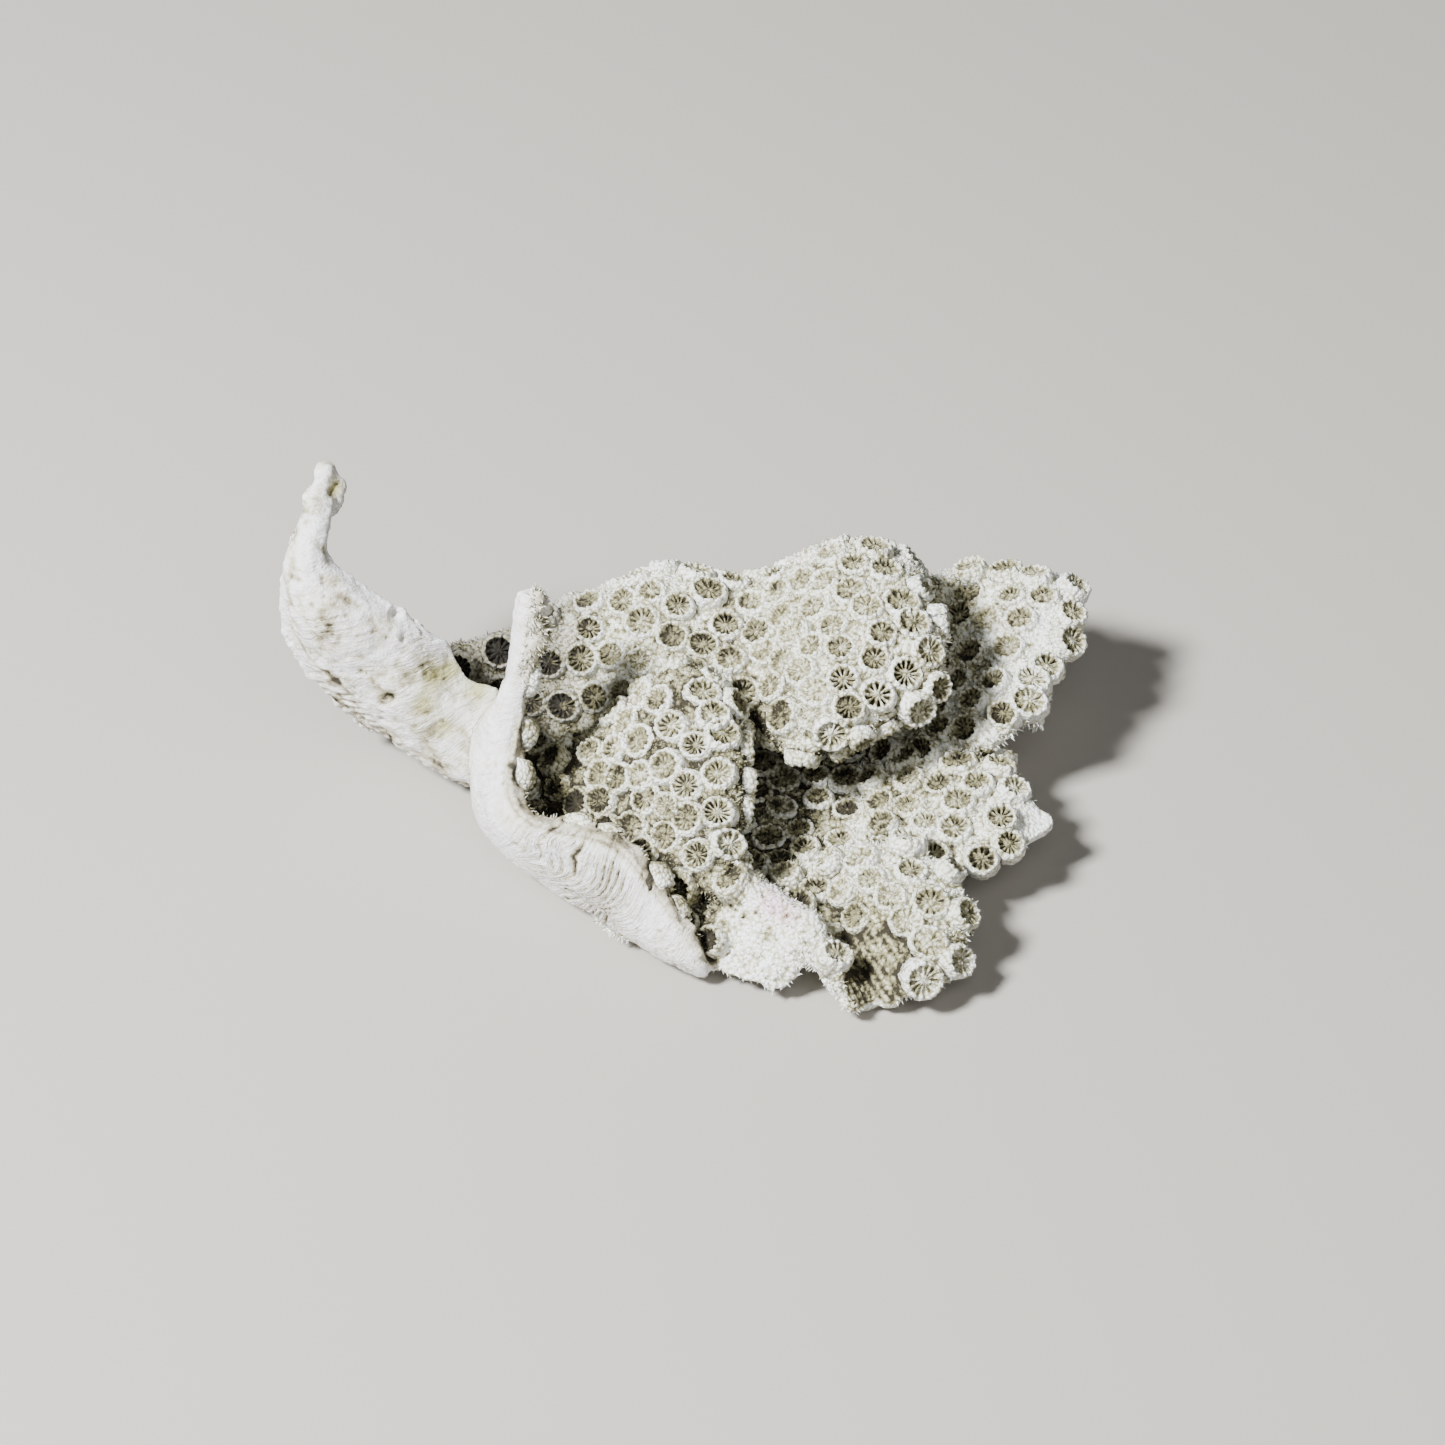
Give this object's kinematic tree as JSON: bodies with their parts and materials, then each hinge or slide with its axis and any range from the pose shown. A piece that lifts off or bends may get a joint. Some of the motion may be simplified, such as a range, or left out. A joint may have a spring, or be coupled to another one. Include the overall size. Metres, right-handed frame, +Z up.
{
  "type": "cabbage coral fragment",
  "caption": "Broken, bleached piece of plate coral with folded, forking plates and cupped corallites on their upper sides, resting on a flat scar.",
  "frame": {"origin": "on the flat scar under the main fork of the plates, where the piece rests", "axes": "+X along the piece from the upright horn to the right-hand lobes, +Y to its back, +Z up"},
  "size_m": [0.1008, 0.0672, 0.0386],
  "materials": {
    "smooth_skeleton": "matt, fine growth lines",
    "cupped_skeleton": "matt, granular, with corallites"
  },
  "bodies": {
    "root": {"base_plate": "cupped_skeleton", "horn_frond": "smooth_skeleton", "left_fold": "smooth_skeleton", "back_frond": "cupped_skeleton", "inner_frond": "cupped_skeleton", "upper_right_lobe": "cupped_skeleton", "middle_right_lobe": "cupped_skeleton", "lower_right_lobe": "cupped_skeleton", "front_fold": "cupped_skeleton"}
  },
  "joints": []
}
